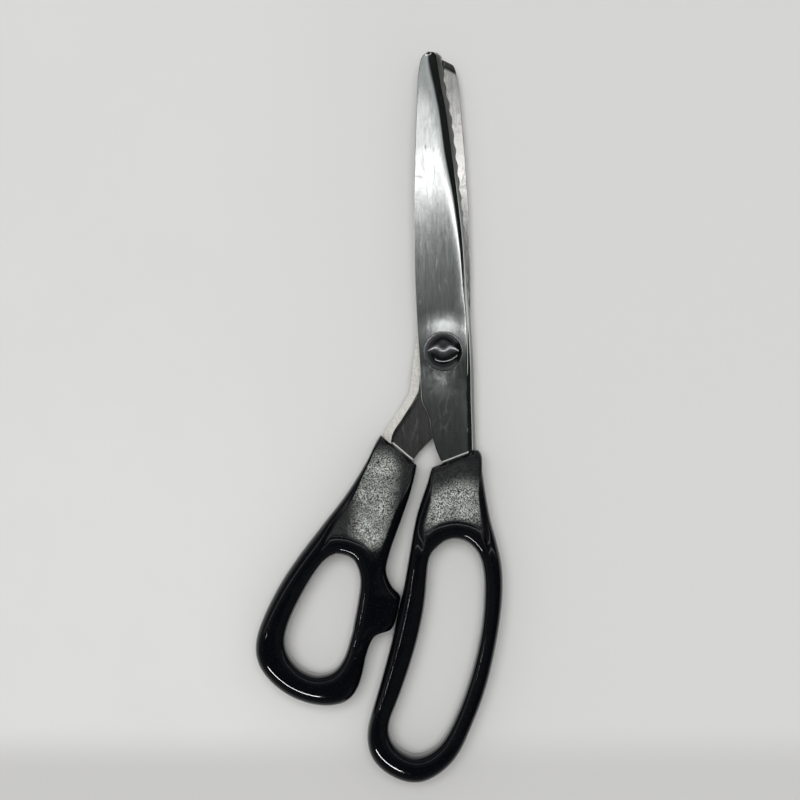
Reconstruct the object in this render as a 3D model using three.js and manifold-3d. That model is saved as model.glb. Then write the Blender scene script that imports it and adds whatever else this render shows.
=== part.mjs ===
// Fabric shears with meshing teeth, closed and lying flat. Millimetres, +Z up, +Y towards the tips.
// Everything is drawn about the pivot axis, and moved at the end so that z = 0 is the resting plane.
import * as THREE from "three";
import { mergeVertices } from "three/addons/utils/BufferGeometryUtils.js";
import Module from "manifold-3d";

const wasm = await Module();
wasm.setup();

// Materials
const BLADE_STEEL = { color: 0xb4b9bb, roughness: 0.22, metalness: 1.0 };
const SCREW_STEEL = { color: 0xc4c8ca, roughness: 0.12, metalness: 1.0 };
const SPRING_STEEL = { color: 0x8d9294, roughness: 0.35, metalness: 1.0 };
const HANDLE_PLASTIC = { color: 0x17181a, roughness: 0.45, metalness: 0.0 };

// Blade sheet, and how far the pad round the pivot stands up from it
const SHEET = 2.4;
const PLATE_RISE = 1.0;
const PAD_RISE = 0.2;
const BLADE_CLEARANCE = 0.3;
const FACET_DROP = 1.2;
const FACET_SHARE = 0.6;
const FLANGE_WIDTH = 2.7;
const FLANGE_REACH = 3.0;
const INNER_BEND_BACK = 1.3;
const INNER_BEND_DROP = 1.25;
const INNER_BEND_SHARE = 0.8;
const NARROW_SHARE = 0.45;
const NARROW_PLATE = 0.3;
const halfGap = BLADE_CLEARANCE / 2;
const plateTop = halfGap + SHEET + PLATE_RISE;
const facetFoot = plateTop - FACET_DROP;
const seatHeight = plateTop + PAD_RISE;

// Blade plan, from tip to pivot: [share of the length from the pivot, back edge, ridge, toothed edge].
// The tip is the upper blade's own
const BLADE_LENGTH = 96.4;
const UPPER_TIP = [
  [1.0, -5.0, -4.6, -1.6],
  [0.988, -6.6, -4.5, -0.6],
  [0.96, -7.6, -4.3, -0.1],
];
const BLADE_PLAN = [
  [0.892, -8.3, -3.4, 0.8],
  [0.809, -8.65, -1.9, 2.35],
  [0.674, -9.1, -0.1, 4.1],
  [0.519, -9.35, 2.9, 5.8],
  [0.373, -9.3, 4.8, 7.2],
  [0.239, -9.0, 5.9, 8.0],
  [0.083, -8.3, 7.1, 9.1],
];
// The lower blade is the same plan turned over about a line that leans and crosses x = 0 at this y.
// Its tip is cut back on a slant, in the same order of columns
const LEAN = 0.024;
const LEAN_HEIGHT = 20;
const LOWER_TIP = [
  [0.982, -0.6, -1.0, -2.9],
  [0.9585, 3.5, 0.8, -3.5],
];

// Upper shank and tang plan, from pivot to tang end: [y, back edge, ridge, outer edge]
const UPPER_SHANK = [
  [-6, -7.4, 7.3, 9.9],
  [-15, -7.0, 7.2, 10.1],
  [-21.3, -4.5, 7.4, 10.3],
  [-26.3, -3.7, 7.5, 10.45],
  [-35.6, -0.4, 7.6, 10.6],
  [-37, 1.4, 7.2, 9.4],
  [-54, 2.4, 7.8, 9.8],
];
// Lower shank and tang plan, in the same order
const LOWER_SHANK = [
  [-6, 8.9, -7.5, -10.1],
  [-12, 7.9, -8.1, -10.7],
  [-15.5, 6.4, -9.6, -12.3],
  [-20, 3.6, -12.2, -15.2],
  [-27, -2.3, -16.5, -19.4],
  [-30, -4.9, -17.3, -19.9],
  [-36, -10.2, -20.0, -22.6],
  [-45, -17.5, -25.4, -27.9],
  [-52, -22.5, -29.2, -31.4],
];

// Meshing teeth: the two blades part along z = f(distance from the pivot axis)
const TOOTH_PITCH = 5.0;
const TOOTH_DEPTH = 1.8;
const TOOTH_SHARPNESS = 0.94;
const TEETH_START = 16.55;
const STEPS_PER_TOOTH = 10;
const CUTTER_START = 4;
const CUTTER_FLAT_TO = 6;
const CUTTER_RADIUS = 145;
const CUTTER_DEPTH = 20;
const CUTTER_FROM_DEG = 20;
const CUTTER_TO_DEG = 160;
const CUTTER_STEP_DEG = 5;

// Round the pivot each plate swells to a low oval pad with a round seat for the screw's head or nut,
// and inside it has a boss that reaches down to the other blade
const PAD_WIDTH = 14.2;
const PAD_LENGTH = 25.0;
const PAD_SEGMENTS = 40;
const SEAT_CLEARANCE = 0.15;
const BOSS_RADIUS = 7.0;
const BOSS_ROOT_SHARE = 0.5;

// Pivot stack
const SCREW_RADIUS = 3.5;
const SCREW_CLEARANCE = 0.1;
const STACK_CLEARANCE = 0.1;
const DOME_RADIUS = 5.95;
const DOME_EDGE = 0.5;
const DOME_RISE = 1.8;
const DOME_STEPS = 8;
const HEAD_WASHER_RADIUS = 6.25;
const HEAD_WASHER_THICKNESS = 0.5;
const BLADE_WASHER_RADIUS = 5.2;
const BLADE_WASHER_RECESS = 0.25;
const SPRING_WASHER_RADIUS = 5.4;
const SPRING_WASHER_THICKNESS = 0.8;
const SPRING_WASHER_CONE = 0.3;
const NUT_ACROSS_FLATS = 10.0;
const NUT_HEIGHT = 2.0;
const NUT_CHAMFER = 0.5;
const BORE_OVERRUN = 1.0;
const SCREW_END_SHORT = 0.3;
const ROUND_SEGMENTS = 40;

// Handles
const HANDLE_HALF_HEIGHT = 6.8;
const MOUTH_HEIGHT = 5.1;
const NECK_HEIGHT = 5.9;
const LUG_HEIGHT = 5.4;
const RING_STEP = 0.4;
const HOLE_ROUND = 3.1;
const RING_FOOT = 3.0;
const HANDLE_SPAN_STEPS = 3;
const ROUND_STEPS = 4;
const ROUND_FULLNESS = 0.6;
const MOUTH_ROUND = 0.8;
const SIDE_ROUND = 2.6;
const BOW_ROUND = 5.5;
const POCKET_FROM = -19;
const POCKET_CLEARANCE = 0.3;
const TANG_TOP = 3.3;
const PEG_LENGTH = 9.0;
const PEG_RADIUS = 1.8;
const UPPER_PEG = [5.2, -46];
const LOWER_PEG = [-22.4, -45];
// Where each blade's shoulder stops short of its handle: a point on the mouth and the mouth's angle
const UPPER_MOUTH = [3.7, -34.4, 21.1];
const LOWER_MOUTH = [-13.4, -32.4, -39.8];

// Finger handle, clockwise from the mouth:
// [outer x, outer y, hole x, hole y, edge rounding, edge height]
const FINGER_PLAN = [
  [-3.9, -37.8, -0.6, -62.0, MOUTH_ROUND, MOUTH_HEIGHT],
  [-3.0, -35.8, 0.4, -61.2, MOUTH_ROUND, MOUTH_HEIGHT],
  [9.0, -31.0, 3.4, -60.3, MOUTH_ROUND, MOUTH_HEIGHT],
  [12.0, -32.2, 6.8, -60.9, MOUTH_ROUND, MOUTH_HEIGHT],
  [12.8, -39, 9.0, -62.4, SIDE_ROUND, NECK_HEIGHT],
  [15.2, -53.5, 11.2, -65, SIDE_ROUND, NECK_HEIGHT],
  [18.7, -67, 12.8, -70.5, BOW_ROUND, HANDLE_HALF_HEIGHT],
  [19.1, -79, 13.0, -80, BOW_ROUND, HANDLE_HALF_HEIGHT],
  [17.4, -92.3, 11.8, -91.5, BOW_ROUND, HANDLE_HALF_HEIGHT],
  [13.9, -107.8, 8.2, -106, BOW_ROUND, HANDLE_HALF_HEIGHT],
  [9, -120.7, 3.6, -118, BOW_ROUND, HANDLE_HALF_HEIGHT],
  [3.0, -132, -1.5, -126.5, BOW_ROUND, HANDLE_HALF_HEIGHT],
  [-8.6, -138.8, -8.6, -130, BOW_ROUND, HANDLE_HALF_HEIGHT],
  [-21.3, -133, -15.2, -126.5, BOW_ROUND, HANDLE_HALF_HEIGHT],
  [-24.5, -123.3, -17.3, -120.5, BOW_ROUND, HANDLE_HALF_HEIGHT],
  [-21.3, -110.4, -14, -111, BOW_ROUND, HANDLE_HALF_HEIGHT],
  [-17.1, -94.9, -8.8, -95, BOW_ROUND, HANDLE_HALF_HEIGHT],
  [-13.4, -79, -5.8, -81, BOW_ROUND, HANDLE_HALF_HEIGHT],
  [-11.0, -65.5, -4.7, -69, BOW_ROUND, HANDLE_HALF_HEIGHT],
  [-8.6, -52.8, -3.7, -65.2, SIDE_ROUND, NECK_HEIGHT],
  [-5.1, -42, -1.8, -63, SIDE_ROUND, NECK_HEIGHT],
];
// Thumb handle with its stop lug, in the same order
const THUMB_PLAN = [
  [-20.7, -27.4, -35.0, -65.4, MOUTH_ROUND, MOUTH_HEIGHT],
  [-19.2, -26.0, -34.0, -65.2, MOUTH_ROUND, MOUTH_HEIGHT],
  [-8.4, -35.0, -31.2, -65.7, MOUTH_ROUND, MOUTH_HEIGHT],
  [-8.5, -37.2, -30.3, -66.1, MOUTH_ROUND, MOUTH_HEIGHT],
  [-10.0, -44, -29.0, -67.0, SIDE_ROUND, NECK_HEIGHT],
  [-13.3, -54, -27.8, -69.0, SIDE_ROUND, NECK_HEIGHT],
  [-17.0, -64.5, -27.0, -71.8, SIDE_ROUND, NECK_HEIGHT],
  [-18.1, -70.5, -26.8, -74, SIDE_ROUND, LUG_HEIGHT],
  [-16.8, -75, -27.0, -77, SIDE_ROUND, LUG_HEIGHT],
  [-14.2, -79.4, -27.5, -80, SIDE_ROUND, LUG_HEIGHT],
  [-16.7, -89.0, -29.3, -89.5, SIDE_ROUND, LUG_HEIGHT],
  [-21.8, -91.8, -30.0, -92.3, SIDE_ROUND, LUG_HEIGHT],
  [-24.5, -97.5, -31.8, -98, BOW_ROUND, HANDLE_HALF_HEIGHT],
  [-26.2, -105, -34.8, -102.2, BOW_ROUND, HANDLE_HALF_HEIGHT],
  [-30.2, -112, -38, -103.6, BOW_ROUND, HANDLE_HALF_HEIGHT],
  [-39, -113.8, -41.3, -103.8, BOW_ROUND, HANDLE_HALF_HEIGHT],
  [-50, -110.4, -46, -101.7, BOW_ROUND, HANDLE_HALF_HEIGHT],
  [-58.4, -102.5, -49.6, -97.2, BOW_ROUND, HANDLE_HALF_HEIGHT],
  [-60.4, -94.5, -50.6, -92, BOW_ROUND, HANDLE_HALF_HEIGHT],
  [-57.5, -84.6, -48.4, -84.6, BOW_ROUND, HANDLE_HALF_HEIGHT],
  [-50.7, -71.7, -44.5, -76.8, BOW_ROUND, HANDLE_HALF_HEIGHT],
  [-41.3, -58.7, -41.2, -71.3, BOW_ROUND, HANDLE_HALF_HEIGHT],
  [-31.3, -45.8, -38.6, -67.8, SIDE_ROUND, NECK_HEIGHT],
  [-24.6, -35.0, -36.6, -66.2, SIDE_ROUND, NECK_HEIGHT],
];

// Points closer than this are one point
const MERGE_DISTANCE = 1e-4;

// Grid and solid helpers. Faces are turned round where they would enclose a negative volume
function enclosed(points, faces) {
  let volume = 0;
  for (const [a, b, c] of faces) {
    const pa = new THREE.Vector3(...points[a]);
    const pb = new THREE.Vector3(...points[b]);
    volume += pa.dot(pb.cross(new THREE.Vector3(...points[c])));
  }
  return volume;
}

function solidOf(points, faces) {
  if (enclosed(points, faces) < 0) {
    faces.forEach((face) => face.reverse());
  }
  const vertProperties = Float32Array.from(points.flat());
  const triVerts = Uint32Array.from(faces.flat());
  return new wasm.Manifold(new wasm.Mesh({ numProp: 3, vertProperties, triVerts }));
}

function solidOfGeometry(source) {
  const bare = source.clone();
  bare.deleteAttribute("normal");
  bare.deleteAttribute("uv");
  const merged = mergeVertices(bare, MERGE_DISTANCE);
  const vertProperties = Float32Array.from(merged.getAttribute("position").array);
  const triVerts = Uint32Array.from(merged.getIndex().array);
  return new wasm.Manifold(new wasm.Mesh({ numProp: 3, vertProperties, triVerts }));
}

function geometryOf(solid) {
  const mesh = solid.getMesh();
  const geometry = new THREE.BufferGeometry();
  geometry.setAttribute("position", new THREE.BufferAttribute(Float32Array.from(mesh.vertProperties), 3));
  geometry.setIndex(new THREE.BufferAttribute(Uint32Array.from(mesh.triVerts), 1));
  return geometry;
}

function ringFaces(rows, columns, closeRows) {
  const faces = [];
  const last = closeRows ? rows : rows - 1;
  for (let i = 0; i < last; i += 1) {
    for (let j = 0; j < columns; j += 1) {
      const a = i * columns + j;
      const b = i * columns + ((j + 1) % columns);
      const c = ((i + 1) % rows) * columns + j;
      const d = ((i + 1) % rows) * columns + ((j + 1) % columns);
      faces.push([a, b, d], [a, d, c]);
    }
  }
  return faces;
}

// A closed solid through sections with the same even number of points. Each end is closed by strips
// between the points that face each other across the section
function loft(sections) {
  const columns = sections[0].length;
  const end = (sections.length - 1) * columns;
  const faces = ringFaces(sections.length, columns, false);
  for (let k = 0; k < columns / 2 - 1; k += 1) {
    const strip = [k, k + 1, columns - 2 - k, columns - 1 - k];
    faces.push([strip[2], strip[1], strip[0]], [strip[3], strip[2], strip[0]]);
    faces.push([end + strip[0], end + strip[1], end + strip[2]]);
    faces.push([end + strip[0], end + strip[2], end + strip[3]]);
  }
  return solidOf(sections.flat(), faces);
}

function box(low, high) {
  const geometry = new THREE.BoxGeometry(high[0] - low[0], high[1] - low[1], high[2] - low[2]);
  geometry.translate((low[0] + high[0]) / 2, (low[1] + high[1]) / 2, (low[2] + high[2]) / 2);
  return solidOfGeometry(geometry);
}

function rod(radius, low, high, centre) {
  const geometry = new THREE.CylinderGeometry(radius, radius, high - low, ROUND_SEGMENTS);
  geometry.rotateX(Math.PI / 2);
  geometry.translate(centre[0], centre[1], (low + high) / 2);
  return solidOfGeometry(geometry);
}

// A round piece about the pivot axis from its [radius, height] profile
function turned(profile) {
  const points = profile.map((p) => new THREE.Vector2(p[0], p[1]));
  const geometry = new THREE.LatheGeometry(points, ROUND_SEGMENTS);
  geometry.rotateX(Math.PI / 2);
  return solidOfGeometry(geometry);
}

// One bent-sheet section: plate, sloping facet, steep flange. grow widens it all round for a pocket
function section(row, side, grow) {
  const [y, backX, ridgeX, edgeX] = row;
  const out = Math.sign(edgeX - ridgeX);
  const wall = Math.min(FLANGE_WIDTH, Math.abs(edgeX - backX) * NARROW_SHARE);
  const footX = ridgeX + (edgeX - ridgeX) * FACET_SHARE;
  const tipX = edgeX + ((edgeX - footX) / facetFoot) * FLANGE_REACH;
  const bend = Math.max(out * ridgeX - INNER_BEND_BACK, out * backX + NARROW_PLATE);
  const points = [
    [out * backX - grow, plateTop + grow],
    [out * ridgeX + grow, plateTop + grow],
    [out * footX + grow, facetFoot + grow],
    [out * tipX + grow, -FLANGE_REACH - grow],
    [out * tipX - wall - grow, -FLANGE_REACH - grow],
    [out * footX - wall * INNER_BEND_SHARE - grow, facetFoot - INNER_BEND_DROP - grow],
    [bend - grow, plateTop - SHEET - grow],
    [out * backX - grow, plateTop - SHEET - grow],
  ];
  return points.map(([x, z]) => [out * x, y, side * z]);
}

// The parting surface of the meshing teeth: rounded zigzag height at a distance from the pivot
function toothWave(radius) {
  const phase = (Math.max(radius - TEETH_START, 0) / TOOTH_PITCH) * 2 * Math.PI;
  const height = Math.asin(TOOTH_SHARPNESS * Math.sin(phase)) / Math.asin(TOOTH_SHARPNESS);
  return (height * TOOTH_DEPTH) / 2;
}

// All that lies on the far side of one blade's face of that surface; side is 1 above, -1 below
function partingCutter(side) {
  const radii = [CUTTER_START];
  for (let r = TEETH_START; r < CUTTER_RADIUS; r += TOOTH_PITCH / STEPS_PER_TOOTH) {
    radii.push(r);
  }
  const sections = [];
  for (let deg = CUTTER_FROM_DEG; deg <= CUTTER_TO_DEG; deg += CUTTER_STEP_DEG) {
    const angle = THREE.MathUtils.degToRad(deg);
    const at = (r, z) => [r * Math.cos(angle), r * Math.sin(angle), z];
    const face = radii.map((r) => at(r, toothWave(r) + side * halfGap));
    const back = radii.map((r) => at(r, -side * CUTTER_DEPTH)).reverse();
    sections.push([...face, ...back]);
  }
  const toothed = loft(sections);
  const faces = [side * halfGap, -side * CUTTER_DEPTH].sort((a, b) => a - b);
  const flat = box([-CUTTER_RADIUS, -CUTTER_RADIUS, faces[0]], [CUTTER_RADIUS, CUTTER_FLAT_TO, faces[1]]);
  return toothed.add(flat);
}

// A plate's pad, from its root inside the plate through its oval rim up to the round seat
function padSolid(side) {
  const seat = HEAD_WASHER_RADIUS + SEAT_CLEARANCE;
  const levels = [
    [PAD_WIDTH / 2, PAD_LENGTH / 2, plateTop - PAD_RISE],
    [PAD_WIDTH / 2, PAD_LENGTH / 2, plateTop],
    [seat, seat, seatHeight],
  ];
  const sections = levels.map(([rx, ry, z]) => {
    const ring = [];
    for (let k = 0; k < PAD_SEGMENTS; k += 1) {
      const angle = (k / PAD_SEGMENTS) * 2 * Math.PI;
      ring.push([rx * Math.cos(angle), ry * Math.sin(angle), side * z]);
    }
    return ring;
  });
  return loft(sections);
}

// A blade: bent sheet, pad and boss, toothed parting face, tang, screw hole and peg hole
function bladeSolid(rows, side, mouth, peg) {
  const sheet = loft(rows.map((row) => section(row, side, 0)));
  const ends = [side * halfGap, side * (plateTop - SHEET * BOSS_ROOT_SHARE)];
  const boss = rod(BOSS_RADIUS, Math.min(...ends), Math.max(...ends), [0, 0]);
  const reach = CUTTER_DEPTH;
  const plate = [side * TANG_TOP, side * reach];
  return sheet
    .add(boss)
    .add(padSolid(side))
    .subtract(partingCutter(side))
    .subtract(mouthBlock(mouth, -CUTTER_RADIUS, POCKET_CLEARANCE, Math.min(...plate), Math.max(...plate)))
    .subtract(rod(SCREW_RADIUS + SCREW_CLEARANCE, -reach, reach, [0, 0]))
    .subtract(rod(PEG_RADIUS + POCKET_CLEARANCE, -reach, reach, peg));
}

const alongBlade = ([share, ...xs]) => [share * BLADE_LENGTH, ...xs];
const turnedOver = BLADE_PLAN.map(alongBlade).map(([y, ...xs]) => {
  const shift = 2 * LEAN * (y - LEAN_HEIGHT);
  return [y, ...xs.map((x) => -x - shift)];
});
const upperRows = [...UPPER_TIP.map(alongBlade), ...BLADE_PLAN.map(alongBlade), ...UPPER_SHANK];
const lowerRows = [...LOWER_TIP.map(alongBlade), ...turnedOver, ...LOWER_SHANK];

// A handle: a ring of sections between the hole's edge and the outer edge. Each section rises over
// the ring round the hole, steps down to the neck's face and rounds off to the outer edge
function handleRing(plan) {
  const outer = new THREE.CatmullRomCurve3(
    plan.map((p) => new THREE.Vector3(p[0], p[1], p[4])),
    true,
    "centripetal",
  );
  const hole = new THREE.CatmullRomCurve3(
    plan.map((p) => new THREE.Vector3(p[2], p[3], p[5])),
    true,
    "centripetal",
  );
  const steps = plan.length * HANDLE_SPAN_STEPS;
  const sections = [];
  for (let k = 0; k < steps; k += 1) {
    const a = hole.getPoint(k / steps);
    const b = outer.getPoint(k / steps);
    const width = Math.hypot(b.x - a.x, b.y - a.y);
    const crest = Math.min(HOLE_ROUND, width / 2);
    const shoulder = Math.min(Math.max(b.z, MOUTH_ROUND), width - crest);
    const flat = width - crest - shoulder;
    const neck = Math.min(flat / RING_FOOT, 1);
    const edge = HANDLE_HALF_HEIGHT - Math.max(HANDLE_HALF_HEIGHT - a.z, 0) * neck;
    const quarter = [];
    for (let n = 0; n <= ROUND_STEPS; n += 1) {
      const turn = (n / ROUND_STEPS) * (Math.PI / 2);
      quarter.push([1 - Math.cos(turn) ** ROUND_FULLNESS, Math.sin(turn) ** ROUND_FULLNESS]);
    }
    const top = quarter.map(([d, z]) => [crest * d, HANDLE_HALF_HEIGHT * z]);
    top.push([crest + Math.min(RING_FOOT, flat / 2), HANDLE_HALF_HEIGHT - RING_STEP * neck]);
    top.push(...quarter.reverse().map(([d, z]) => [width - shoulder * d, edge * z]));
    const under = top.slice(1, -1).reverse().map(([d, z]) => [d, -z]);
    const along = (d) => [a.x + ((b.x - a.x) * d) / width, a.y + ((b.y - a.y) * d) / width];
    sections.push([...top, ...under].map(([d, z]) => [...along(d), z]));
  }
  return solidOf(sections.flat(), ringFaces(steps, sections[0].length, true));
}

// A block along a handle's mouth line, between two distances from that line
function mouthBlock(mouth, near, far, low, high) {
  const geometry = new THREE.BoxGeometry(2 * CUTTER_RADIUS, far - near, high - low);
  geometry.translate(0, (near + far) / 2, (low + high) / 2);
  geometry.rotateZ(THREE.MathUtils.degToRad(mouth[2]));
  geometry.translate(mouth[0], mouth[1], 0);
  return solidOfGeometry(geometry);
}

// All between two heights, for trimming
function slab(low, high) {
  return box([-CUTTER_RADIUS, -CUTTER_RADIUS, low], [CUTTER_RADIUS, CUTTER_RADIUS, high]);
}

// The handle's pocket follows the tang with its clearance, and a peg through the tang locks it
function handleSolid(plan, rows, side, mouth, peg) {
  const inHandle = rows.filter((row) => row[0] < POCKET_FROM);
  const end = inHandle[inHandle.length - 1];
  const floor = [end[0] - POCKET_CLEARANCE, ...end.slice(1)];
  const pocketRows = [...inHandle, floor].map((row) => section(row, side, POCKET_CLEARANCE));
  const heights = [halfGap - POCKET_CLEARANCE, TANG_TOP + POCKET_CLEARANCE].map((z) => side * z);
  const pocket = loft(pocketRows).intersect(slab(Math.min(...heights), Math.max(...heights)));
  return handleRing(plan)
    .subtract(mouthBlock(mouth, 0, CUTTER_RADIUS, -CUTTER_DEPTH, CUTTER_DEPTH))
    .subtract(pocket)
    .add(rod(PEG_RADIUS, -PEG_LENGTH / 2, PEG_LENGTH / 2, peg));
}

// The pivot stack, from the two seats upwards and downwards
const headWasherFoot = seatHeight + STACK_CLEARANCE;
const headFoot = headWasherFoot + HEAD_WASHER_THICKNESS + STACK_CLEARANCE;
const springTop = -seatHeight - STACK_CLEARANCE;
const springFoot = springTop - SPRING_WASHER_THICKNESS;
const nutTop = springFoot - STACK_CLEARANCE;
const nutFoot = nutTop - NUT_HEIGHT;
const screwEnd = nutFoot + SCREW_END_SHORT;
const boreRadius = SCREW_RADIUS + SCREW_CLEARANCE;

function screwSolid() {
  const profile = [
    [0, screwEnd],
    [SCREW_RADIUS - SCREW_END_SHORT, screwEnd],
    [SCREW_RADIUS, screwEnd + SCREW_END_SHORT],
    [SCREW_RADIUS, headFoot],
    [DOME_RADIUS, headFoot],
  ];
  for (let k = 0; k < DOME_STEPS; k += 1) {
    const turn = (k / DOME_STEPS) * (Math.PI / 2);
    profile.push([DOME_RADIUS * Math.cos(turn), headFoot + DOME_EDGE + DOME_RISE * Math.sin(turn)]);
  }
  profile.push([0, headFoot + DOME_EDGE + DOME_RISE]);
  return turned(profile);
}

function washerSolid(inner, outer, foot, thickness, cone) {
  return turned([
    [inner, foot + cone],
    [outer, foot],
    [outer, foot + thickness - cone],
    [inner, foot + thickness],
    [inner, foot + cone],
  ]);
}

function nutSolid() {
  const corner = NUT_ACROSS_FLATS / Math.sqrt(3);
  const hexagon = new THREE.CylinderGeometry(corner, corner, NUT_HEIGHT, 6);
  hexagon.rotateX(Math.PI / 2);
  hexagon.translate(0, 0, (nutTop + nutFoot) / 2);
  const envelope = turned([
    [0, nutFoot],
    [corner - NUT_CHAMFER, nutFoot],
    [corner + NUT_CHAMFER, nutFoot + NUT_CHAMFER],
    [corner + NUT_CHAMFER, nutTop],
    [0, nutTop],
  ]);
  const bore = rod(boreRadius, nutFoot - BORE_OVERRUN, nutTop + BORE_OVERRUN, [0, 0]);
  return solidOfGeometry(hexagon).intersect(envelope).subtract(bore);
}

const recess = BLADE_WASHER_RECESS;
const washerSeat = rod(BLADE_WASHER_RADIUS + SCREW_CLEARANCE, -halfGap - recess, halfGap + recess, [0, 0]);
const bladeWasher = washerSolid(
  boreRadius,
  BLADE_WASHER_RADIUS,
  -halfGap - recess + STACK_CLEARANCE,
  2 * (halfGap + recess - STACK_CLEARANCE),
  0,
);

const pieces = [
  ["upper_blade", bladeSolid(upperRows, 1, UPPER_MOUTH, UPPER_PEG).subtract(washerSeat), BLADE_STEEL],
  ["lower_blade", bladeSolid(lowerRows, -1, LOWER_MOUTH, LOWER_PEG).subtract(washerSeat), BLADE_STEEL],
  ["finger_handle", handleSolid(FINGER_PLAN, upperRows, 1, UPPER_MOUTH, UPPER_PEG), HANDLE_PLASTIC],
  ["thumb_handle", handleSolid(THUMB_PLAN, lowerRows, -1, LOWER_MOUTH, LOWER_PEG), HANDLE_PLASTIC],
  ["pivot_screw", screwSolid(), SCREW_STEEL],
  [
    "head_washer",
    washerSolid(boreRadius, HEAD_WASHER_RADIUS, headWasherFoot, HEAD_WASHER_THICKNESS, 0),
    SCREW_STEEL,
  ],
  ["blade_washer", bladeWasher, SPRING_STEEL],
  [
    "spring_washer",
    washerSolid(boreRadius, SPRING_WASHER_RADIUS, springFoot, SPRING_WASHER_THICKNESS, SPRING_WASHER_CONE),
    SPRING_STEEL,
  ],
  ["lock_nut", nutSolid(), SCREW_STEEL],
];

// The resting plane is z = 0 and the origin is below the middle of the closed shears
const group = new THREE.Group();
for (const [name, solid, material] of pieces) {
  const mesh = new THREE.Mesh(geometryOf(solid), new THREE.MeshStandardMaterial(material));
  mesh.name = name;
  group.add(mesh);
}
const bounds = new THREE.Box3().setFromObject(group);
const middle = bounds.getCenter(new THREE.Vector3());
for (const mesh of group.children) {
  mesh.geometry.translate(-middle.x, -middle.y, -bounds.min.z);
}

export default group;
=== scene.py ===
import bpy
import numpy as np
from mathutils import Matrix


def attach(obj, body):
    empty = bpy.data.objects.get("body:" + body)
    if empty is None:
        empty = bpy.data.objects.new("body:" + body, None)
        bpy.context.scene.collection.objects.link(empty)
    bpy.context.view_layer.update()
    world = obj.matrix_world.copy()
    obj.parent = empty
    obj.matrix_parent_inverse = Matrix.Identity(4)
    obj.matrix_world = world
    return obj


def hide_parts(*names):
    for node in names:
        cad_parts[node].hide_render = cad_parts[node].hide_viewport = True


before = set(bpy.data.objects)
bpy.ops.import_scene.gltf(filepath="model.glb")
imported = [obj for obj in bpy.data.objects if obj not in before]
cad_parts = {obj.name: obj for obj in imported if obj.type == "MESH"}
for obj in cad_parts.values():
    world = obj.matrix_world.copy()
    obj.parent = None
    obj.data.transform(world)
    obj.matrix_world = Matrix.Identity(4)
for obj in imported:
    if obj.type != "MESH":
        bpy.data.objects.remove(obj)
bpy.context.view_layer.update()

# The two blades. Each is polished steel, 2.4 mm thick: a flat plate that bends down along a ridge into
# a facet and a steep flange. The flange's lower face carries rounded teeth that mesh with the other
# blade's, and the plate swells to a low pad round the screw. All sizes here are millimetres.
MM = 0.001
PIVOT = np.array([20.594, 21.2, 6.8])
SHEET = 2.4
HALF_GAP = 0.15
PLATE_RISE = 1.0
PLATE_TOP = HALF_GAP + SHEET + PLATE_RISE
FACET_FOOT = PLATE_TOP - 1.2
FACET_SHARE = 0.6
FLANGE_WIDTH = 2.7
FLANGE_REACH = 3.0
KNEE_HEIGHT = 1.15
KNEE_BACK = 0.36
INNER_BEND_BACK = 1.3
INNER_BEND_DROP = 1.25
INNER_BEND_SHARE = 0.8
NARROW_SHARE = 0.45
NARROW_PLATE = 0.3
TANG_TOP = 3.3
POCKET_CLEARANCE = 0.3
LIP_LENGTH = 0.55
TURN_FROM = -8.0
TURN_DONE = 5
TOOTH_PITCH = 5.0
TOOTH_DEPTH = 1.8
TOOTH_SHARPNESS = 0.94
TEETH_START = 16.55

# Round the screw: the pad with its round seat on top, the boss underneath, and the holes in the blade
PAD_RISE = 0.25
PAD_RADIUS = 14.0
SEAT_RADIUS = 6.4
BOSS_RADIUS = 7.0
SCREW_HOLE = 3.6
WASHER_RECESS = 5.3
WASHER_RECESS_DEPTH = 0.4
PEG_HOLE = 2.1
CUT_THROUGH = 20

# The blades' plans from tip to tang: the place along the blade, which the tips and BLADE_PLAN give as a
# share of its length, then the back edge, the ridge and the toothed edge
BLADE_LENGTH = 96.4
UPPER_TIP = [(1.0, -5.0, -4.7, -1.6), (0.988, -6.6, -5.2, -0.6), (0.96, -7.6, -4.9, -0.1)]
BLADE_PLAN = [
    (0.892, -8.3, -3.4, 0.8),
    (0.809, -8.65, -1.9, 2.35),
    (0.674, -9.1, -0.1, 4.1),
    (0.519, -9.35, 2.9, 5.8),
    (0.373, -9.3, 4.8, 7.2),
    (0.239, -9.0, 5.9, 8.0),
    (0.083, -8.3, 7.1, 9.1),
]
# The lower blade is the same plan turned over about a line that leans by LEAN and crosses x = 0 at
# LEAN_HEIGHT, and its own tip is cut back on a slant
LOWER_TIP = [(0.982, -0.6, -1.0, -2.9), (0.9585, 3.5, 0.8, -3.5)]
LEAN = 0.024
LEAN_HEIGHT = 20.0
UPPER_SHANK = [
    (-6, -7.4, 7.3, 9.9),
    (-15, -7.0, 7.2, 10.1),
    (-21.3, -4.5, 7.4, 10.3),
    (-26.3, -3.7, 7.5, 10.45),
    (-35.6, -0.4, 7.6, 10.6),
    (-37, 1.4, 7.2, 9.4),
    (-54, 2.4, 7.8, 9.8),
]
LOWER_SHANK = [
    (-6, 8.9, -7.5, -10.1),
    (-12, 7.9, -8.1, -10.7),
    (-15.5, 6.4, -9.6, -12.3),
    (-20, 3.6, -12.2, -15.2),
    (-27, -2.3, -16.5, -19.4),
    (-30, -4.9, -17.3, -19.9),
    (-36, -10.2, -20.0, -22.6),
    (-45, -17.5, -25.4, -27.9),
    (-52, -22.5, -29.2, -31.4),
]
# Where each tang enters its handle: a point on the mouth, and the mouth's slope
UPPER_MOUTH = (3.7, -34.4, np.tan(np.radians(21.1)))
LOWER_MOUTH = (-13.4, -32.4, np.tan(np.radians(-39.8)))
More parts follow.
